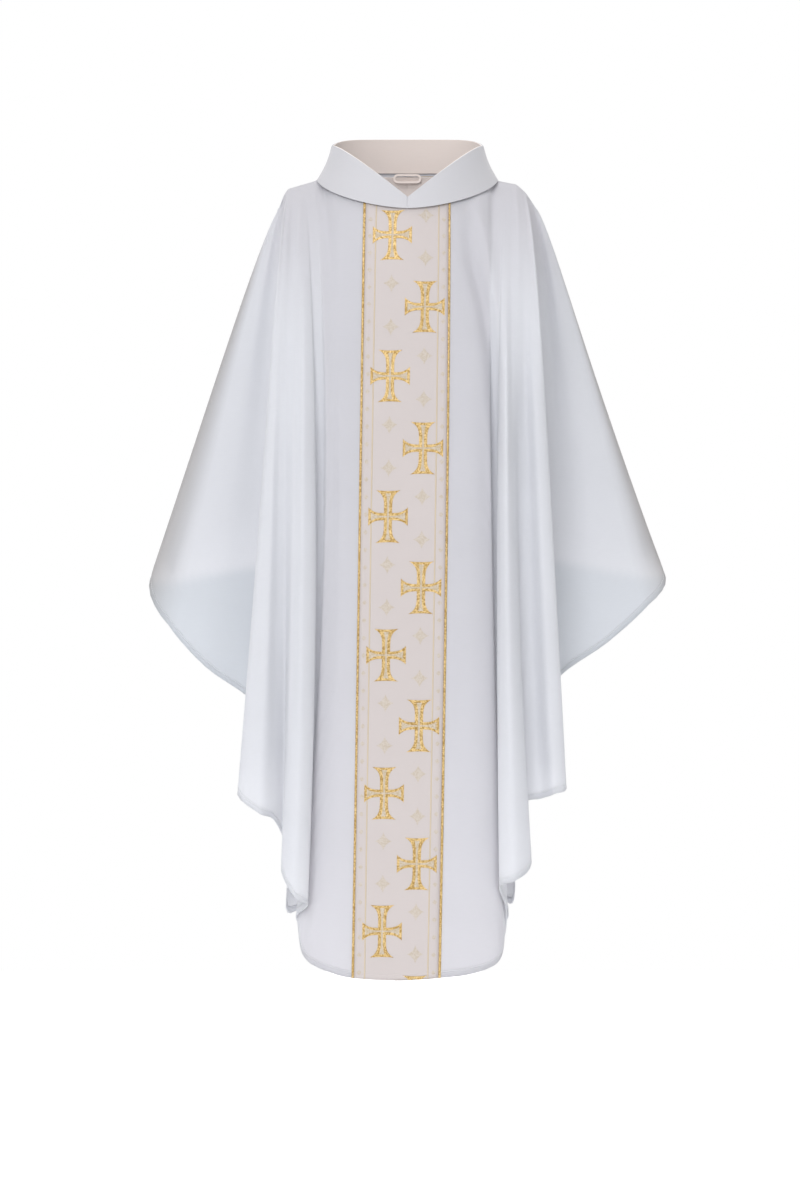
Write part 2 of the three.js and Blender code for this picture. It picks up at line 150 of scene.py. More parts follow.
# Fold lines: (top out, (waist out, forth), (hem out, forth, down), (back hem out, down)).
FOLDS = {
    "right": [
        (0.069, (0.075, 0.15), (0.087, 0.146, 1.257), (0.069, 1.276)),
        (0.113, (0.101, 0.15), (0.122, 0.146, 1.248), (0.12, 1.266)),
        (0.138, (0.113, 0.145), (0.151, 0.141, 1.235), (0.148, 1.25)),
        (0.15, (0.1275, 0.142), (0.1655, 0.130, 1.217), (0.164, 1.232)),
        (0.158, (0.129, 0.133), (0.171, 0.120, 1.18), (0.170, 1.206)),
        (0.164, (0.1425, 0.133), (0.171, 0.126, 1.162), (0.172, 1.194)),
        (0.168, (0.1435, 0.148), (0.154, 0.158, 1.143), (0.158, 1.19)),
        (0.172, (0.158, 0.164), (0.174, 0.180, 1.128), (0.178, 1.188)),
        (0.176, (0.173, 0.160), (0.195, 0.160, 1.09), (0.202, 1.184)),
        (0.18, (0.187, 0.151), (0.191, 0.128, 1.05), (0.187, 1.06)),
        (0.184, (0.196, 0.153), (0.207, 0.142, 1.012), (0.204, 0.985)),
        (0.188, (0.206, 0.153), (0.231, 0.160, 1.0), (0.226, 0.965)),
        (0.192, (0.216, 0.132), (0.263, 0.134, 0.964), (0.25, 0.93)),
        (0.196, (0.18, 0.07), (0.182, 0.068, 0.895), (0.182, 0.79)),
        (0.199, (0.222, 0.034), (0.25, 0.044, 0.828), (0.25, 0.622)),
        (0.2015, (0.252, 0.034), (0.32, 0.036, 0.779), (0.32, 0.634)),
        (0.2035, (0.276, 0.022), (0.381, 0.02, 0.712), (0.381, 0.646)),
        (0.205, (0.289, 0.005), (0.4135, 0.005, 0.642), (0.4135, 0.642)),
    ],
    "left": [
        (0.067, (0.063, 0.15), (0.051, 0.146, 1.257), (0.069, 1.276)),
        (0.092, (0.097, 0.149), (0.098, 0.146, 1.251), (0.118, 1.266)),
        (0.112, (0.119, 0.142), (0.134, 0.141, 1.238), (0.146, 1.25)),
        (0.126, (0.1285, 0.138), (0.1475, 0.130, 1.220), (0.16, 1.230)),
        (0.137, (0.130, 0.124), (0.152, 0.114, 1.18), (0.164, 1.2)),
        (0.149, (0.140, 0.124), (0.152, 0.128, 1.15), (0.164, 1.186)),
        (0.155, (0.1405, 0.146), (0.141, 0.156, 1.114), (0.148, 1.176)),
        (0.161, (0.151, 0.166), (0.165, 0.18, 1.103), (0.16, 1.172)),
        (0.167, (0.162, 0.15), (0.191, 0.156, 1.077), (0.178, 1.168)),
        (0.173, (0.172, 0.137), (0.18, 0.130, 0.993), (0.18, 1.04)),
        (0.179, (0.184, 0.131), (0.207, 0.126, 0.981), (0.204, 0.98)),
        (0.184, (0.198, 0.146), (0.226, 0.15, 0.972), (0.22, 0.962)),
        (0.188, (0.213, 0.13), (0.244, 0.132, 0.958), (0.238, 0.926)),
        (0.193, (0.18, 0.07), (0.176, 0.068, 0.88), (0.178, 0.78)),
        (0.198, (0.226, 0.036), (0.238, 0.046, 0.796), (0.238, 0.612)),
        (0.202, (0.256, 0.034), (0.317, 0.038, 0.74), (0.317, 0.626)),
        (0.206, (0.279, 0.022), (0.385, 0.02, 0.679), (0.385, 0.638)),
        (0.209, (0.284, 0.005), (0.4125, 0.005, 0.633), (0.4125, 0.633)),
    ],
}
CENTRE_FOLD = (0.0, (0.007, 0.150), (0.018, 0.146, 1.261), (0.0, 1.280))
BACK_CENTRE_FOLD = (0.0, (0.0, 0.150), (0.018, 0.146, 1.261), (0.0, 1.280))

# Soft folds too small for a fold line: the (x, z) down the fold, its half width, and its height,
# which is below 0 for a groove.
SOFT_FOLDS = [
    (((-0.180, -0.050), (-0.180, -0.162)), 0.009, -0.0035),
    (((-0.171, -0.035), (-0.172, -0.100), (-0.171, -0.162)), 0.008, 0.003),
    (((-0.196, -0.250), (-0.200, -0.450), (-0.205, -0.830)), 0.009, -0.0045),
    (((-0.168, -0.300), (-0.170, -0.450), (-0.175, -0.850)), 0.005, -0.0028),
    (((-0.154, -0.350), (-0.155, -0.550), (-0.158, -0.900)), 0.004, -0.0014),
    (((-0.216, -0.570), (-0.228, -0.800)), 0.006, -0.0022),
    (((-0.198, -0.034), (-0.203, -0.046), (-0.209, -0.060)), 0.004, -0.007),
    (((0.096, -0.110), (0.101, -0.150), (0.117, -0.215), (0.131, -0.300), (0.136, -0.400)),
     0.012, -0.011),
    (((0.112, -0.060), (0.126, -0.130), (0.140, -0.230), (0.146, -0.420)), 0.010, 0.004),
    (((0.207, -0.045), (0.207, -0.080), (0.220, -0.160), (0.228, -0.250), (0.232, -0.450)),
     0.007, -0.003),
]


# ---- Fold lines ----
def fold_top(out, side, face):
    if out < NECK_HALF_WIDTH:
        cosine = math.sqrt(1 - (out / NECK_HALF_WIDTH) ** 2)
        dip = cosine ** NECK_DIP_POWER if face == "front" else cosine
        down = NECK_SIDE_DOWN + (NECK_MIDDLE_DOWN[face] - NECK_SIDE_DOWN) * dip
        return out, NECK_FORTH[face] * cosine, down
    outs, downs = zip(*SHOULDER[side])
    return out, 0.0, float(np.interp(out, outs, downs))


def face_folds(face):
    """The fold lines of one face from the right wing edge to the left one, as rows of numbers."""
    rows = []
    for number in range(-CENTRE, CENTRE + 1):
        side = "right" if number <= 0 else "left"
        if number == 0:
            line = CENTRE_FOLD if face == "front" else BACK_CENTRE_FOLD
        else:
            line = FOLDS[side][abs(number) - 1]
        top_out, (waist_out, waist_forth), (hem_out, hem_forth, hem_down), back_hem = line
        if face == "back":
            hem_out, hem_down = back_hem
        out, forth, down = fold_top(top_out, side, face)
        plane = BODY_PLANE if abs(number) < OUTER_VALLEY else waist_forth
        if abs(number) == CENTRE:
            waist_forth = hem_forth = plane = 0.0
        sign = -1 if side == "right" else 1
        rows.append((sign * out, forth, down, sign * waist_out, waist_forth,
                     sign * hem_out, hem_forth, hem_down, plane, FOLD_GROWTH[side]))
    return np.array(rows).T


FACES = {face: face_folds(face) for face in ("front", "back")}
FACE_SIGN = {"front": -1, "back": 1}


def points_on_folds(face, v):
    """Every fold line's point at each share v of its length: an array of len(v) x 37 x 3."""
    out, forth, down, waist_out, waist_forth, hem_out, hem_forth, hem_down, plane, growth = FACES[face]
    v = np.asarray(v, float)[:, None]
    upper = np.minimum(v / WAIST, 1)
    lower = np.maximum((v - WAIST) / (1 - WAIST), 0)
    x = (out * (v - WAIST) * (v - 1) / WAIST
         + waist_out * v * (v - 1) / (WAIST * (WAIST - 1))
         + hem_out * v * (v - WAIST) / (1 - WAIST))
    y = (forth + (plane - forth) * (1 - (1 - upper) ** 3)
         + (waist_forth - plane) * upper ** growth + (hem_forth - waist_forth) * lower)
    z = down + (hem_down - down) * v ** FALL
    return np.stack([x, FACE_SIGN[face] * y, -z], axis=-1)


def smoothstep(low, high, value):
    t = np.clip((value - low) / (high - low), 0, 1)
    return t * t * (3 - 2 * t)


def soft_relief(points):
    """How far the soft folds stand out of the front at each point."""
    x, z = points[..., 0], points[..., 2]
    relief = np.zeros(x.shape)
    for line, half_width, height in SOFT_FOLDS:
        line_x, line_z = np.array(line).T
        middle = np.interp(-z, -line_z, line_x)
        fade = 0.3 * (line_z[0] - line_z[-1])
        reach = smoothstep(line_z[-1] - fade, line_z[-1] + fade, z) * smoothstep(-fade, fade, line_z[0] - z)
        relief += height * reach * np.exp(-(((x - middle) / half_width) ** 2))
    return relief


def surface(face, u, v):
    """Points of the cloth: u counts fold lines from the right wing edge, v runs down from 0 to 1."""
    u, v = np.broadcast_arrays(np.asarray(u, float), np.asarray(v, float))
    shape = u.shape
    u, v = u.ravel(), v.ravel()
    folds = points_on_folds(face, v)
    last = folds.shape[1] - 1
    index = np.clip(np.floor(u).astype(int), 0, last - 1)
    t = (u - index)[:, None]
    row = np.arange(len(u))
    before, start, end, after = (folds[row, np.clip(index + k, 0, last)] for k in (-1, 0, 1, 2))
    leaving = (end - before) * ROUNDNESS / 2
    arriving = (after - start) * ROUNDNESS / 2
    points = (start * (2 * t ** 3 - 3 * t ** 2 + 1) + leaving * (t ** 3 - 2 * t ** 2 + t)
              + end * (3 * t ** 2 - 2 * t ** 3) + arriving * (t ** 3 - t ** 2))
    near_edge = np.abs(u - CENTRE) - (CENTRE - 1)
    bulge = TIP_BULGE * np.sin(np.pi * np.clip(near_edge, 0, 1)) * smoothstep(0.88, 1, v)
    points[:, 0] += np.sign(u - CENTRE) * bulge
    corner = np.clip(near_edge - TIP_FROM, 0, 1) ** 2 * smoothstep(0.965, 1, v)
    points[:, 0] -= np.sign(u - CENTRE) * TIP_IN * corner
    points[:, 2] += TIP_UP * corner
    side_fold = folds[row, np.where(u < CENTRE, 1, last - 1), 1]
    rounded = side_fold * np.sqrt(1 - np.clip(near_edge, 0, 1) ** 2)
    points[:, 1] = np.where(near_edge > 0, rounded, points[:, 1])
    if face == "front":
        points[:, 1] -= soft_relief(points)
    sign = FACE_SIGN[face]
    points[:, 1] = sign * np.maximum(sign * points[:, 1], 0)
    return points.reshape(*shape, 3)


def normals(face, u, v):
    step_u, step_v = 0.03, 0.004
    u, v = np.broadcast_arrays(np.asarray(u, float), np.asarray(v, float))
    right, left = np.maximum(u - step_u, 0), np.minimum(u + step_u, 2 * CENTRE)
    across = surface(face, left, v) - surface(face, right, v)
    down = surface(face, u, np.minimum(v + step_v, 1)) - surface(face, u, np.maximum(v - step_v, 0))
    found = np.cross(across, down) * -FACE_SIGN[face]
    found /= np.maximum(np.linalg.norm(found, axis=-1, keepdims=True), 1e-9)
    return -found


# ---- Mesh helpers ----
def new_object(name, vertices, faces, smooth=True):
    mesh = bpy.data.meshes.new(name)
    mesh.from_pydata([tuple(p) for p in vertices], [], [tuple(f) for f in faces])
    if smooth:
        mesh.shade_smooth()
    made = bpy.data.objects.new(name, mesh)
    bpy.context.scene.collection.objects.link(made)
    return made


def grid_faces(rows, columns, start=0, wrap=False):
    faces = []
    for i in range(rows - 1):
        for j in range(columns if wrap else columns - 1):
            k = (j + 1) % columns
            faces.append((start + i * columns + j, start + i * columns + k,
                          start + (i + 1) * columns + k, start + (i + 1) * columns + j))
    return faces


def tidy_mesh(made, distance=1e-5):
    mesh = bmesh.new()
    mesh.from_mesh(made.data)
    bmesh.ops.remove_doubles(mesh, verts=mesh.verts, dist=distance)
    bmesh.ops.dissolve_degenerate(mesh, edges=mesh.edges, dist=1e-6)
    bmesh.ops.recalc_face_normals(mesh, faces=mesh.faces)
    mesh.to_mesh(made.data)
    mesh.free()


def closed_layer(name, skin, under, wrap=False):
    """One closed body between two grids of points, each rows x columns x 3."""
    rows, columns = skin.shape[:2]
    count = rows * columns
    faces = grid_faces(rows, columns, wrap=wrap) + grid_faces(rows, columns, count, wrap)
    for j in range(columns if wrap else columns - 1):
        k = (j + 1) % columns
        last = (rows - 1) * columns
        faces.append((j, k, count + k, count + j))
        faces.append((last + j, last + k, count + last + k, count + last + j))
    if not wrap:
        for i in range(rows - 1):
            for j in (0, columns - 1):
                a, b = i * columns + j, (i + 1) * columns + j
                faces.append((a, b, count + b, count + a))
    made = new_object(name, np.concatenate([skin.reshape(-1, 3), under.reshape(-1, 3)]), faces)
    tidy_mesh(made, 1e-7)
    return made


def add_modifier(made, kind, **settings):
    modifier = made.modifiers.new(kind.title(), kind)
    for key, value in settings.items():
        setattr(modifier, key, value)
    return modifier


def apply_modifiers(made):
    bpy.context.view_layer.update()
    evaluated = made.evaluated_get(bpy.context.evaluated_depsgraph_get())
    mesh = bpy.data.meshes.new_from_object(evaluated)
    made.modifiers.clear()
    made.data = mesh


# ---- Materials ----
def node(tree, kind, **inputs):
    made = tree.nodes.new(kind)
    for key, value in inputs.items():
        made.inputs[key.replace("_", " ")].default_value = value
    return made


# Painted shade: tints that darken the body cloth where shade would fall, on the single layer below the back
# wing's hem, along the wing's edge and over the body.
PAINTED_SHADES = {"single_layer_shade": (0.885, 0.905, 0.915), "rim": (0.71, 0.685, 0.66), "over_body_shade": (0.903, 0.889, 0.895)}
THROUGH_TINT = (1.0, 0.96, 0.915)  # the light that comes through the cloth is warmer


def multiplied(tree, color_out, tint, share_out=None):
    """A color times a tint, all of it or where the share says."""
    mixed = tree.nodes.new("ShaderNodeMix")
    mixed.data_type = "RGBA"
    mixed.blend_type = "MULTIPLY"
    mixed.inputs[0].default_value = 1
    mixed.inputs[7].default_value = (*tint, 1)
    tree.links.new(color_out, mixed.inputs[6])
    if share_out is not None:
        tree.links.new(share_out, mixed.inputs[0])
    return mixed.outputs[2]


def woven(name, color, roughness=0.85, sheen=0.25, thread=0.0007, weave=0.25, slub=0.035, through=0.0,
          metallic=0.0, crinkle=0.12, fleck=None, painted_shades=()):
    """Cloth: fine warp and weft in bump and colour, slow colour change, light that comes through, and tints of
    painted shade where it has them.

    A cloth with painted shade also has a fine groove along its hem's stitches.
    """
    material = bpy.data.materials.new(name)
    material.use_nodes = True
    tree = material.node_tree
    tree.nodes.clear()
    link = tree.links.new
    place = tree.nodes.new("ShaderNodeTexCoord")
    output = tree.nodes.new("ShaderNodeOutputMaterial")
    shader = node(tree, "ShaderNodeBsdfPrincipled", Roughness=roughness, Metallic=metallic)
    shader.inputs["Sheen Weight"].default_value = sheen
    shader.inputs["Sheen Roughness"].default_value = 0.45
    shader.inputs["Specular IOR Level"].default_value = 0.25

    slow = node(tree, "ShaderNodeTexNoise", Scale=9.0, Detail=3.0)
    threads = node(tree, "ShaderNodeTexNoise", Scale=1.0, Detail=2.0)
    stretched = node(tree, "ShaderNodeMapping")
    stretched.inputs["Scale"].default_value = (90.0, 90.0, 700.0)
    link(place.outputs["Object"], slow.inputs["Vector"])
    link(place.outputs["Object"], stretched.inputs["Vector"])
    link(stretched.outputs["Vector"], threads.inputs["Vector"])
    both = tree.nodes.new("ShaderNodeMix")
    both.data_type = "FLOAT"
    both.inputs[0].default_value = 0.4
    link(slow.outputs["Fac"], both.inputs[2])
    link(threads.outputs["Fac"], both.inputs[3])
    tint = tree.nodes.new("ShaderNodeMix")
    tint.data_type = "RGBA"
    tint.inputs[6].default_value = (*[c * (1 - slub) for c in color], 1)
    tint.inputs[7].default_value = (*[min(c * (1 + slub), 1) for c in color], 1)
    link(both.outputs[0], tint.inputs[0])
    color_out = tint.outputs[2]
    if fleck is not None:
        grain = node(tree, "ShaderNodeTexVoronoi", Scale=800.0)
        link(place.outputs["Object"], grain.inputs["Vector"])
        ramp = node(tree, "ShaderNodeMapRange")
        ramp.inputs["From Min"].default_value = 0.25
        ramp.inputs["From Max"].default_value = 0.75
        separate = tree.nodes.new("ShaderNodeSeparateColor")
        link(grain.outputs["Color"], separate.inputs[0])
        link(separate.outputs[0], ramp.inputs["Value"])
        spark = tree.nodes.new("ShaderNodeMix")
        spark.data_type = "RGBA"
        spark.inputs[7].default_value = (*fleck, 1)
        link(ramp.outputs[0], spark.inputs[0])
        link(color_out, spark.inputs[6])
        color_out = spark.outputs[2]
    # Painted shade: each tint darkens the colour where its attribute marks it.
    for shade in painted_shades:
        zone = tree.nodes.new("ShaderNodeAttribute")
        zone.attribute_name = shade
        color_out = multiplied(tree, color_out, PAINTED_SHADES[shade], zone.outputs["Fac"])
    link(color_out, shader.inputs["Base Color"])

    warp = node(tree, "ShaderNodeTexWave", Scale=0.314 / thread, Distortion=0.3)
    weft = node(tree, "ShaderNodeTexWave", Scale=0.314 / thread, Distortion=0.3)
    weft.bands_direction = "Z"
    link(place.outputs["Object"], warp.inputs["Vector"])
    link(place.outputs["Object"], weft.inputs["Vector"])
    crossed = tree.nodes.new("ShaderNodeMath")
    crossed.operation = "MULTIPLY"
    link(warp.outputs["Fac"], crossed.inputs[0])
    link(weft.outputs["Fac"], crossed.inputs[1])
    fine = node(tree, "ShaderNodeBump", Strength=weave, Distance=0.0002)
    link(crossed.outputs[0], fine.inputs["Height"])
    if painted_shades:
        above = tree.nodes.new("ShaderNodeAttribute")
        above.attribute_name = "hem_up"
        groove = node(tree, "ShaderNodeMapRange")
        groove.interpolation_type = "SMOOTHSTEP"
        groove.inputs["From Min"].default_value = 0.0
        groove.inputs["From Max"].default_value = 0.0022
        away = tree.nodes.new("ShaderNodeMath")
        away.operation = "SUBTRACT"
        away.inputs[1].default_value = STITCH_LINE
        distance = tree.nodes.new("ShaderNodeMath")
        distance.operation = "ABSOLUTE"
        link(above.outputs["Fac"], away.inputs[0])
        link(away.outputs[0], distance.inputs[0])
        link(distance.outputs[0], groove.inputs["Value"])
        sewn = node(tree, "ShaderNodeBump", Strength=0.8, Distance=0.0006)
        link(groove.outputs[0], sewn.inputs["Height"])
        link(fine.outputs["Normal"], sewn.inputs["Normal"])
        fine = sewn
    soft = node(tree, "ShaderNodeTexNoise", Scale=30.0, Detail=2.0)
    link(place.outputs["Object"], soft.inputs["Vector"])
    broad = node(tree, "ShaderNodeBump", Strength=crinkle, Distance=0.004)
    link(soft.outputs["Fac"], broad.inputs["Height"])
    link(fine.outputs["Normal"], broad.inputs["Normal"])
    link(broad.outputs["Normal"], shader.inputs["Normal"])
    surface_out = shader.outputs[0]
    if through > 0:
        glow = tree.nodes.new("ShaderNodeBsdfTranslucent")
        link(multiplied(tree, color_out, THROUGH_TINT), glow.inputs["Color"])
        link(broad.outputs["Normal"], glow.inputs["Normal"])
        mixed = node(tree, "ShaderNodeMixShader", Fac=through)
        link(shader.outputs[0], mixed.inputs[1])
        link(glow.outputs[0], mixed.inputs[2])
        surface_out = mixed.outputs[0]
    link(surface_out, output.inputs["Surface"])
    return material


# The body cloth carries the painted shade tints.
BODY = woven("body_cloth", (0.818, 0.840, 0.885), through=0.45, painted_shades=("single_layer_shade", "rim", "over_body_shade"))
COLLAR = woven("collar_cloth", (0.525, 0.525, 0.552), roughness=0.8, crinkle=0.05)
LINING = woven("collar_lining", (0.77, 0.69, 0.645), roughness=0.9, crinkle=0.08)
GROUND = woven("orphrey_ground", (0.52, 0.476, 0.468), roughness=0.6, thread=0.0011, weave=0.5, crinkle=0.05)
BEIGE = woven("beige_thread", (0.475, 0.410, 0.335), roughness=0.6, weave=0.5, fleck=(0.535, 0.485, 0.435))
SPECKLED = woven("speckled_thread", (0.45, 0.36, 0.24), roughness=0.6, weave=0.5, fleck=(0.55, 0.49, 0.42))
PALE_GOLD = woven("pale_gold_thread", (0.56, 0.475, 0.36), roughness=0.55, weave=0.5)
GOLD = woven("gold_thread", (0.33, 0.198, 0.047), roughness=0.4, metallic=0.3, weave=0.8, slub=0.2,
             thread=0.0014, fleck=(0.71, 0.52, 0.242))
THREAD_WHITE = woven("white_thread", (0.84, 0.84, 0.86), roughness=0.6)
TAPE = woven("white_tape", (0.86, 0.86, 0.86), thread=0.0012, weave=0.5)


def dress(made, material):
    made.data.materials.clear()
    made.data.materials.append(material)
    return made


# ---- Body cloth ----
def lattice_lines(side):
    """The cloth's columns, counted in fold lines, from its middle to the edge of its wing."""
    sign = -1 if side == "right" else 1
    numbers = np.append(np.linspace(0, CENTRE, CENTRE * LINES_PER_FOLD + 1), (CENTRE - 0.1, CENTRE - 0.03))
    return CENTRE + sign * np.sort(numbers)


LATTICE_ROWS = np.linspace(0, 1, ROWS) ** ROW_CROWDING
SINGLE_LAYER_SHADE_SHARE = {"right": 1.0, "left": 0.8}    # how strong the painted shade on the single layer is on each wing
RIM_SHADE_LINES = 1.25      # width of the painted shade along the wing's edge, in spaces between fold lines


def add_attribute(made, name, values):
    attribute = made.data.attributes.new(name, "FLOAT", "POINT")
    attribute.data.foreach_set("value", values.astype(np.float32))


def cloth_half(side):
    """One half of the garment: front and back, joined over the shoulder and along the wing edge."""
    columns = lattice_lines(side)
    grids = [surface(face, columns[None, :], LATTICE_ROWS[:, None]) for face in ("front", "back")]
    count = ROWS * len(columns)
    faces = grid_faces(ROWS, len(columns)) + grid_faces(ROWS, len(columns), count)
    made = new_object(f"cloth_{side}", np.concatenate([g.reshape(-1, 3) for g in grids]), faces)
    across, down = np.broadcast_arrays(columns[None, :], LATTICE_ROWS[:, None])
    hem_up = [np.cumsum(np.linalg.norm(np.diff(g[::-1], axis=0, prepend=g[-1:]), axis=-1), axis=0)[::-1]
              for g in grids]
    values = {"fold": np.tile(across.ravel(), 2), "fall": np.tile(down.ravel(), 2),
              "hem_up": np.concatenate([h.ravel() for h in hem_up]), "place": np.arange(2 * count)}
    for name, numbers in values.items():
        add_attribute(made, name, numbers)
    tidy_mesh(made, 2e-5)
    mark_painted_shades(made, side)
    return made


def read_attribute(made, name):
    values = np.zeros(len(made.data.vertices), np.float32)
    made.data.attributes[name].data.foreach_get("value", values)
    return values


def cloth_grids(made, side):
    """The cloth's points now, as a grid of rows x columns x 3 for each face."""
    columns = len(lattice_lines(side))
    points = np.full((2 * ROWS * columns, 3), np.nan)
    points[read_attribute(made, "place").astype(int)] = [v.co for v in made.data.vertices]
    front, back = points.reshape(2, ROWS, columns, 3)
    front, back = np.where(np.isnan(front), back, front), np.where(np.isnan(back), front, back)
    return {"front": front, "back": back}


def mark_painted_shades(made, side):
    """Marks where painted shade darkens the cloth, as tints for its material.

    The tints fall on the single layer below the back wing's hem, on the pressed fold along the wing's
    edge, and on the cloth over the shoulders, the chest and the middle of the body.
    """
    sign = -1 if side == "right" else 1
    lines = np.arange(OUTER_VALLEY + 1, CENTRE + 1)
    hem = points_on_folds("back", [1.0])[0][CENTRE + sign * lines]
    points = np.array([v.co for v in made.data.vertices])
    level = np.interp(sign * points[:, 0], sign * hem[:, 0], hem[:, 2])
    # Painted shade on the single layer of cloth below the back wing's hem.
    single_layer_shade = SINGLE_LAYER_SHADE_SHARE[side] * smoothstep(-0.010, 0.012, level - points[:, 2])
    single_layer_shade *= (points[:, 1] < 0) * smoothstep(-0.075, -0.055, points[:, 1])
    lines_in = CENTRE - np.abs(read_attribute(made, "fold") - CENTRE)
    fall = read_attribute(made, "fall")
    # Painted shade along the fold at the wing's edge.
    rim = (1 - smoothstep(0.0, RIM_SHADE_LINES, lines_in)) * smoothstep(0.04, 0.3, fall)
    # Painted shade over the shoulders, the chest and the middle of the body.
    over_body_shade = smoothstep(CENTRE - 5.5, CENTRE - 3.5, lines_in)
    over_body_shade = np.maximum(over_body_shade, smoothstep(0, 4, lines_in) * (1 - smoothstep(0.05, 0.35, fall)))
    for name, values in (("single_layer_shade", single_layer_shade), ("over_body_shade", over_body_shade), ("rim", rim)):
        add_attribute(made, name, values)


def ride_half(made):
    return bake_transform(made)


def settle(made, side):
    """Lets the cloth settle under its weight. The neck, the shoulder and the orphrey hold it."""
    u, v = read_attribute(made, "fold"), read_attribute(made, "fall")
    held = 1 - smoothstep(1.1, 4, np.abs(u - CENTRE))
    held = np.maximum(held, 1 - smoothstep(0.02, 0.09, v))
    weight = np.maximum(held, HOLD)
    group = made.vertex_groups.new(name="held")
    for index, value in enumerate(weight):
        group.add([index], float(value), "REPLACE")
    modifier = made.modifiers.new("Cloth", "CLOTH")
    settings = modifier.settings
    settings.quality = 5
    settings.mass = 0.15
    settings.tension_stiffness = 20
    settings.compression_stiffness = 12
    settings.shear_stiffness = 4
    settings.bending_stiffness = 3
    settings.vertex_group_mass = "held"
    settings.pin_stiffness = 1.0
    settings.shrink_min = -SLACK
    settings.shrink_max = -SLACK
    modifier.collision_settings.use_collision = False
    modifier.point_cache.frame_end = SETTLE_FRAMES
    scene = bpy.context.scene
    for step in range(1, SETTLE_FRAMES + 1):
        scene.frame_set(step)
    apply_modifiers(made)
    scene.frame_set(1)


cloths, grids = {}, {}
for side in ("right", "left"):
    cloth = cloth_half(side)
    settle(cloth, side)
    grids[side] = cloth_grids(cloth, side)
    add_modifier(cloth, "SOLIDIFY", thickness=CLOTH, offset=-1)
    apply_modifiers(cloth)
    dress(cloth, BODY)
    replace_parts(cloth, *(f"{face}_{part}_{side}" for face in ("front", "back") for part in ("panel", "wing")))
    cloths[side] = ride_half(cloth)


# ---- Hems: a narrow turn-up inside, and its line of stitches ----
def grid_normals(grid, face):
    """Outward normals. The first column, under the orphrey, faces straight forward or back."""
    found = np.cross(np.gradient(grid, axis=1), np.gradient(grid, axis=0))
    found /= np.maximum(np.linalg.norm(found, axis=-1, keepdims=True), 1e-12)
    outward = found[len(grid) // 2, 0, 1] * FACE_SIGN[face] > 0
    return found if outward else -found


def above_hem(grid, ups):
    """Points of each column at given lengths above the hem: len(ups) x columns x 3."""
    raised = np.empty((len(ups), grid.shape[1], 3))
    for j in range(grid.shape[1]):
        column = grid[::-1][:12, j]
        lengths = np.concatenate([[0], np.cumsum(np.linalg.norm(np.diff(column, axis=0), axis=1))])
        for axis in range(3):
            raised[:, j, axis] = np.interp(ups, lengths, column[:, axis])
    return raised


def hem_strip(side, face):
    grid = grids[side][face]
    out = grid_normals(grid, face)[-3][None]
    base = above_hem(grid, np.linspace(HEM_WIDTH, 0.0002, 4))
    depth = CLOTH + 0.0001
    return closed_layer(f"{face}_hem_{side}", base - out * depth, base - out * (depth + TURN_UP))


def stitches(side, face):
    """A row of stitches on the outside, over the top of the turn-up."""
    grid = grids[side][face]
    line = above_hem(grid, [STITCH_LINE])[0]
    out = grid_normals(grid, face)[-3]
    lengths = np.concatenate([[0], np.cumsum(np.linalg.norm(np.diff(line, axis=0), axis=1))])
    starts = np.arange(0.004, lengths[-1] - 0.006, STITCH_PITCH)

    def along_hem(distances, values):
        return np.stack([np.interp(distances, lengths, values[:, k]) for k in range(3)], axis=1)

    begin = along_hem(starts, line)
    end = along_hem(starts + STITCH, line)
    lift = along_hem(starts, out)
    width = np.cross(end - begin, lift)
    width *= THREAD / 2 / np.linalg.norm(width, axis=1, keepdims=True)
    corners = [p + w * width + h * lift for p in (begin, end) for w in (-1, 1) for h in (-0.0002, 0.00025)]
    vertices = np.stack(corners, axis=1).reshape(-1, 3)
    box = ((0, 1, 3, 2), (4, 6, 7, 5), (0, 4, 5, 1), (2, 3, 7, 6), (0, 2, 6, 4), (1, 5, 7, 3))
    faces = [tuple(8 * n + i for i in side_face) for n in range(len(starts)) for side_face in box]
    return new_object(f"{face}_stitches_{side}", vertices, faces, smooth=False)


def seam_tape(side):
    """The tape inside the fold of the wing, on the back of its front cloth."""
    grid = grids[side]["front"]
    out = grid_normals(grid, "front")
    rows = slice(*(int(share * ROWS) for share in TAPE_SHARES))
    lines = np.abs(lattice_lines(side) - CENTRE)
    columns = np.flatnonzero((lines > TAPE_LINES[0]) & (lines < TAPE_LINES[1]))
    base, lift = grid[rows][:, columns], out[rows][:, columns]
    depth = CLOTH + 0.0002
    return closed_layer(f"wing_tape_{side}", base - lift * depth, base - lift * (depth + TURN_UP))


# ---- Orphreys ----
class Band:
    """Places points of a flat band on one face: across from its middle, and up from the hem."""

    def __init__(self, face):
        self.face = face
        self.shares = np.linspace(0, 1, 400)
        line = surface(face, CENTRE, self.shares)
        steps = np.linalg.norm(np.diff(line, axis=0), axis=1)
        self.downs = np.concatenate([[0], np.cumsum(steps)])
        self.length = self.downs[-1]
        self.lines = np.linspace(-1, 1, 41)
        out = surface(face, CENTRE + self.lines, 0.5)[:, 0]
        out -= out[20]
        self.widths = np.where(out < 0, out / -out[0], out / out[-1])

    def level_share(self, u, v):
        """The share of each line's length where it is as high as share v of the middle line."""
        middle_top, middle_hem = surface(self.face, CENTRE, [0.0, 1.0])[:, 2]
        height = middle_top + (middle_hem - middle_top) * v ** FALL
        top, hem = surface(self.face, u, 0.0)[..., 2], surface(self.face, u, 1.0)[..., 2]
        return np.clip((height - top) / (hem - top), 0, 1) ** (1 / FALL)

    def at(self, across, up, lift, level=False):
        u = CENTRE + np.interp(np.asarray(across, float) / ORPHREY_HALF, self.widths, self.lines)
        v = np.interp(self.length - np.asarray(up, float), self.downs, self.shares)
        u, v = np.broadcast_arrays(u, v)
        if level:
            v = self.level_share(u, v)
        return surface(self.face, u, v) + normals(self.face, u, v) * np.asarray(lift)[..., None]


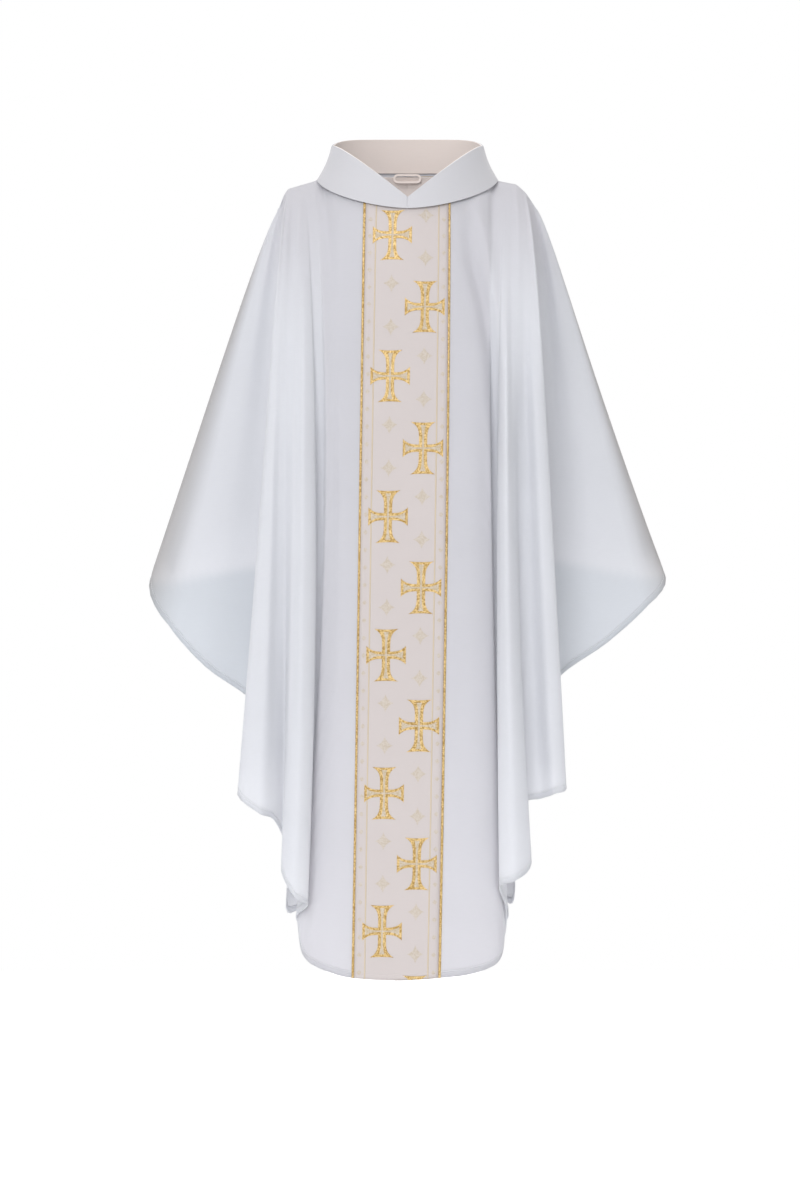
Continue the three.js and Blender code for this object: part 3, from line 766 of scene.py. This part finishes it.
def band_layer(name, band, acrosses, ups, lifts, under):
    across = np.asarray(acrosses)[None, :]
    up = np.asarray(ups)[:, None]
    skin = band.at(across, up, np.broadcast_to(lifts, (len(ups), len(acrosses))))
    below = band.at(across, up, np.full((len(ups), len(acrosses)), under))
    return closed_layer(name, skin, below)


def flared_arm(start, end, waist, flare, power, dip=0.0):
    """Outline of one arm of a cross, up its left side, over its end and down its right side."""
    share = np.linspace(0, 1, 10)
    along = start + (end - start) * share
    half = waist + (flare - waist) * share ** power
    cap = np.linspace(-1, 1, 7)[1:-1]
    left = np.stack([-half, along], axis=1)
    over = np.stack([cap * half[-1], end - dip * (1 - cap ** 2)], axis=1)
    return np.concatenate([left, over, (left * (-1, 1))[::-1]])


def cross_outline(upright, level):
    """The outline of a whole cross from its upright and level arms, round from the left arm."""
    turned = np.stack([level[:, 1], -level[:, 0]], axis=1)
    return np.concatenate([upright, turned, -upright, -turned])


CROSS_OUTER = cross_outline(
    flared_arm(0.0056, 0.0407, 0.0063, 0.0188, 5.0, 0.0012),
    flared_arm(0.0063, 0.0308, 0.0056, 0.0142, 3.0),
)
CROSS_CHANNEL = cross_outline(
    flared_arm(0.0012, 0.0358, 0.0016, 0.0044, 5.0),
    flared_arm(0.0016, 0.0268, 0.0012, 0.0068, 3.2),
)


def raised_rings(name, band, places, outer, inner, low, high):
    """Thin raised rings on the band, one at each (across, up), such as the outline of a cross."""
    vertices, faces = [], []
    count = len(outer)
    for across, up in places:
        start = len(vertices)
        for outline, lift in ((outer, low), (outer, high), (inner, high), (inner, low)):
            ups = np.clip(up + outline[:, 1], 0, band.length)
            vertices.extend(band.at(across + outline[:, 0], ups, np.full(count, lift), level=True))
        for loop in range(4):
            following = (loop + 1) % 4
            for i in range(count):
                k = (i + 1) % count
                faces.append((start + loop * count + i, start + loop * count + k,
                              start + following * count + k, start + following * count + i))
    made = new_object(name, vertices, faces, smooth=False)
    tidy_mesh(made, 1e-6)
    return made


def raised_patches(name, band, patches, low, high):
    """Thin raised patches on the band, each an (outline, across, up)."""
    vertices, faces = [], []
    for outline, across, up in patches:
        start = len(vertices)
        count = len(outline)
        ups = np.clip(up + outline[:, 1], 0, band.length)
        for lift in (low, high):
            vertices.extend(band.at(across + outline[:, 0], ups, np.full(count, lift), level=True))
        faces.append(tuple(range(start, start + count)))
        faces.append(tuple(range(start + count, start + 2 * count)))
        for i in range(count):
            k = (i + 1) % count
            faces.append((start + i, start + k, start + count + k, start + count + i))
    made = new_object(name, vertices, faces, smooth=False)
    tidy_mesh(made, 1e-6)
    return made


def star(half_width, half_height, sharpness, points=24):
    turn = np.linspace(0, 2 * np.pi, points, endpoint=False)
    x, y = np.cos(turn), np.sin(turn)
    return np.stack([half_width * np.sign(x) * abs(x) ** sharpness,
                     half_height * np.sign(y) * abs(y) ** sharpness], axis=1)


STAR = star(0.0135, 0.0143, 3.0)
DOT = star(0.0034, 0.0037, 1.6, 12)


def cross_height(number):
    """How far above the hem a cross's centre is. Even numbers are in the right column."""
    height = FIRST_CROSS_UP + number * CROSS_PITCH + CHEST_STRETCH * max(number - 5, 0) ** 2
    return height if number % 2 == 0 else height - LEFT_CROSS_DROP


for face in ("front", "back"):
    band = Band(face)
    top_up = band.length - 0.003
    ups = np.linspace(0, top_up, 130)
    inside = ORPHREY_HALF - BRAID_WIDTH
    top = LIFT + BAND
    across = np.linspace(-inside, inside, 21)
    ground = dress(band_layer(f"{face}_orphrey_ground", band, across, ups, top, LIFT), GROUND)
    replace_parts(ground, f"{face}_orphrey")
    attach(ground, "torso")
    trims = []
    bead = np.array([-1, -0.7, 0, 0.7, 1]) * BRAID_WIDTH / 2
    for side, sign in (("right", -1), ("left", 1)):
        braid = band_layer(f"{face}_gold_braid_{side}", band, sign * (ORPHREY_HALF - BRAID_WIDTH / 2) + bead,
                           ups, (0.0006, 0.0014, 0.0017, 0.0014, 0.0006), LIFT)
        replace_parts(dress(braid, GOLD), f"{face}_braid_{side}")
        line = band_layer(f"{face}_line_{side}", band, sign * LINE_OUT + np.array([-0.5, 0.5]) * LINE_WIDTH,
                          ups, top + 0.0001, top - 0.0003)
        trims += [braid, dress(line, PALE_GOLD)]
    places, patches = [], []
    for k in range(-1, math.ceil(band.length / CROSS_PITCH)):
        across = PATTERN_SHIFT + (-CROSS_OUT if k % 2 == 0 else CROSS_OUT)
        up, next_up = cross_height(k), cross_height(k + 2)
        places.append((across, up))
        patches += [(STAR, across, up + (next_up - up) * share) for share in STAR_SHARES]
    patches = [p for p in patches if STAR_MARGIN < p[2] < top_up - STAR_MARGIN]
    places = [p for p in places if p[1] < top_up]
    for dot_up in np.arange(0.012, top_up, DOT_PITCH):
        patches += [(DOT, -DOT_OUT, dot_up), (DOT, DOT_OUT, dot_up)]
    low, high = top - 0.0003, top + 0.0002
    crosses = raised_rings(f"{face}_crosses", band, places, CROSS_OUTER, CROSS_CHANNEL, low, high + 0.0002)
    filled = [(CROSS_CHANNEL, *place) for place in places]
    channels = raised_patches(f"{face}_cross_channels", band, filled, low, high)
    stars = raised_patches(f"{face}_stars", band, patches, low, high)
    trims += [dress(crosses, GOLD), dress(channels, SPECKLED),
              dress(stars, BEIGE)]
    for piece in trims:
        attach(piece, "torso")

for side in ("right", "left"):
    trims = []
    for face in ("front", "back"):
        strip = dress(hem_strip(side, face), BODY)
        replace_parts(strip, f"{face}_hem_{side}", f"{face}_wing_hem_{side}")
        row = dress(stitches(side, face), THREAD_WHITE)
        trims += [ride_half(strip), ride_half(row)]
    tape = dress(seam_tape(side), BODY)
    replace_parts(tape, f"wing_seam_tape_{side}")
    trims.append(ride_half(tape))


# ---- Collar ----
def collar_point(theta, share, depth):
    """theta is 0 at the front, share 0 at the lower rim and 1 at the top edge, depth is inward."""
    across, along = np.sin(theta), np.cos(theta)
    side = np.abs(across)
    front = along > 0
    rim, top = COLLAR_RIM, COLLAR_TOP
    arch = (1 - side ** COLLAR_ARCH).clip(0) ** (1 / COLLAR_ARCH)
    rim_z = np.where(front, rim["side_z"] + (rim["front_z"] - rim["side_z"]) * arch,
                     rim["side_z"] + (rim["back_z"] - rim["side_z"]) * np.abs(along))
    back_rise = np.sqrt((1 - side ** COLLAR_BACK_POWER).clip(0))
    top_z = np.where(front, top["front_z"] + (top["side_z"] - top["front_z"]) * side,
                     top["side_z"] + COLLAR_BACK_STEP * back_rise
                     + (top["back_z"] - top["side_z"] - COLLAR_BACK_STEP) * np.abs(along))
    rim_xy = np.stack([rim["half"] * across, -np.where(front, rim["forth"], rim["back"]) * along], -1)
    top_xy = np.stack([top["half"] * across, -np.where(front, top["forth"], top["back"]) * along], -1)
    s = np.asarray(share, float)[..., None]
    xy = rim_xy + (top_xy - rim_xy) * s
    inward = np.stack([-across, along], -1)
    pinch = COLLAR_WAIST * np.sin(np.pi * np.clip(s, 0, 1)) * side[..., None] ** 2
    seam = SEAM_DEPTH * np.exp(-((across / SEAM_SPREAD) ** 2))[..., None] * front[..., None]
    xy = xy + inward * (np.asarray(depth)[..., None] + pinch + seam)
    z = rim_z + (top_z - rim_z) * s[..., 0]
    return np.concatenate([xy, z[..., None]], -1)


def collar_shell(name, inset, thickness, from_share, steps=144):
    """A closed ring of cloth with rounded edges."""
    theta = np.linspace(0, 2 * np.pi, steps, endpoint=False)
    seam_lines = np.array([0.004, 0.008, 0.013, 0.021])
    theta = np.sort(np.concatenate([theta, seam_lines, 2 * np.pi - seam_lines]))
    steps = len(theta)
    half = thickness / 2
    edge = 0.012
    profile = []
    for share, depth in (
        (from_share, half), (from_share + edge * 0.3, 0.0), (from_share + edge, 0.0),
        *((from_share + edge + (1 - edge * 2 - from_share) * k / 9, 0.0) for k in range(1, 10)),
        (1 - edge * 0.3, 0.0), (1.0, half), (1 - edge * 0.3, thickness),
        *((1 - edge - (1 - edge * 2 - from_share) * k / 9, thickness) for k in range(10)),
        (from_share + edge * 0.3, thickness),
    ):
        profile.append(collar_point(theta, np.full(steps, share), np.full(steps, inset + depth)))
    rows = len(profile)
    vertices = np.concatenate(profile)
    faces = []
    for i in range(rows):
        n = (i + 1) % rows
        for j in range(steps):
            k = (j + 1) % steps
            faces.append((i * steps + j, i * steps + k, n * steps + k, n * steps + j))
    made = new_object(name, vertices, faces)
    tidy_mesh(made, 1e-7)
    return made


def neck_seam(steps=120):
    """The collar's seam allowance: a strip from the neck edge of the cloth to the collar's lower rim."""
    theta = np.linspace(0, 2 * np.pi, steps, endpoint=False)
    edge = []
    for across, along in zip(np.sin(theta), np.cos(theta)):
        face = "front" if along > 0 else "back"
        out, forth, down = fold_top(NECK_HALF_WIDTH * abs(across), "left", face)
        edge.append((math.copysign(out, across), FACE_SIGN[face] * forth, -down))
    rim = collar_point(theta, np.full(steps, NECK_SEAM_SHARE), np.full(steps, 0.0011))
    skin = np.stack([np.array(edge), rim])
    return closed_layer("collar_neck_seam", skin + (0, 0, 0.0006), skin + (0, 0, 0.0001), wrap=True)


outer = dress(collar_shell("collar", 0.0, COLLAR_LAYER, 0.0), COLLAR)
neck_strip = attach(dress(neck_seam(), COLLAR), "torso")
lining = collar_shell("collar_facing", FACING_DEPTH, COLLAR_LAYER, FACING_FROM)
dress(lining, LINING)
stiffener = collar_shell("collar_stiffener", STIFFENER_DEPTH, STIFFENER, FACING_FROM)
dress(stiffener, TAPE)
for piece, replaced, size, trims in (
    (outer, "collar_outer", (0.80, 0.070), [neck_strip]),
    (stiffener, "collar_interfacing", (0.79, 0.056), []),
    (lining, "collar_lining", (0.78, 0.056), []),
):
    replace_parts(piece, replaced)
    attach(piece, "torso")

# ---- CAD pieces that stay in view ----
for name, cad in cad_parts.items():
    in_neck = "neck_facing" in name or name in ("hanging_loop", "blank_label")
    material = LINING if in_neck else TAPE
    cad.data.materials.clear()
    cad.data.materials.append(material)

# ---- Stage, lights and camera ----
def stage_plane(name, size, location, color):
    half = size / 2
    corners = [(-half, -half, 0), (half, -half, 0), (half, half, 0), (-half, half, 0)]
    made = new_object(name, corners, [(0, 1, 2, 3)])
    made.location = location
    material = bpy.data.materials.new(name)
    material.use_nodes = True
    shader = material.node_tree.nodes["Principled BSDF"]
    shader.inputs["Base Color"].default_value = (*color, 1)
    shader.inputs["Roughness"].default_value = 0.9
    shader.inputs["Emission Color"].default_value = (1, 1, 1, 1)
    shader.inputs["Emission Strength"].default_value = 0.45
    made.data.materials.append(material)
    made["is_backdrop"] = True
    return made


stage_plane("floor", 6.0, (0, 0.4, -1.75), (0.97, 0.97, 0.975))

world = bpy.data.worlds.new("studio")
bpy.context.scene.world = world
world.use_nodes = True
backdrop = world.node_tree.nodes["Background"]
backdrop.inputs["Color"].default_value = (1.0, 1.0, 1.0, 1)


def world_math(operation, first, second):
    made = world.node_tree.nodes.new("ShaderNodeMath")
    made.operation = operation
    for socket, value in zip(made.inputs, (first, second)):
        if isinstance(value, (int, float)):
            socket.default_value = value
        else:
            world.node_tree.links.new(value, socket)
    return made.outputs[0]


direction = world.node_tree.nodes.new("ShaderNodeSeparateXYZ")
world.node_tree.links.new(world.node_tree.nodes.new("ShaderNodeTexCoord").outputs["Generated"],
                          direction.inputs[0])
behind = world_math("MULTIPLY_ADD", direction.outputs["Y"], BEHIND_GAIN)
behind.node.inputs[2].default_value = 1
sideways = world_math("MULTIPLY", direction.outputs["X"], direction.outputs["X"])
centred = world_math("MULTIPLY_ADD", sideways, -SIDE_LOSS)
centred.node.inputs[2].default_value = 1
ambient = world.node_tree.nodes.new("ShaderNodeMapRange")
ambient.inputs["To Max"].default_value = 1.0
world.node_tree.links.new(world.node_tree.nodes.new("ShaderNodeLightPath").outputs["Is Camera Ray"],
                          ambient.inputs["Value"])
world.node_tree.links.new(world_math("MULTIPLY", world_math("MULTIPLY", behind, centred), AMBIENT),
                          ambient.inputs["To Min"])
world.node_tree.links.new(ambient.outputs[0], backdrop.inputs["Strength"])


def area_light(name, location, target, size, watts, color):
    data = bpy.data.lights.new(name, "AREA")
    data.shape = "SQUARE"
    data.size = size
    data.energy = watts
    data.color = color
    made = bpy.data.objects.new(name, data)
    bpy.context.scene.collection.objects.link(made)
    made.location = location
    direction = np.array(target) - np.array(location)
    length = np.linalg.norm(direction)
    turn = math.atan2(direction[1], direction[0]) - math.pi / 2
    made.rotation_euler = (math.acos(-direction[2] / length), 0, turn)
    return made


area_light("key", (-1.2, -4.2, 1.7), (0, 0, -0.45), 2.4, 116, (0.985, 0.985, 1.0))
area_light("top", (0, -0.3, 2.2), (0, 0, -0.1), 1.6, 12, (1.0, 0.91, 0.85))

camera_data = bpy.data.cameras.new("camera")
camera_data.lens = LENS
camera_data.sensor_width = 36.0
camera = bpy.data.objects.new("camera", camera_data)
bpy.context.scene.collection.objects.link(camera)
camera.location = CAMERA_PLACE
camera.rotation_euler = (math.pi / 2, 0, 0)
bpy.context.scene.camera = camera
bpy.context.scene.view_settings.view_transform = "Standard"

low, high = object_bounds()
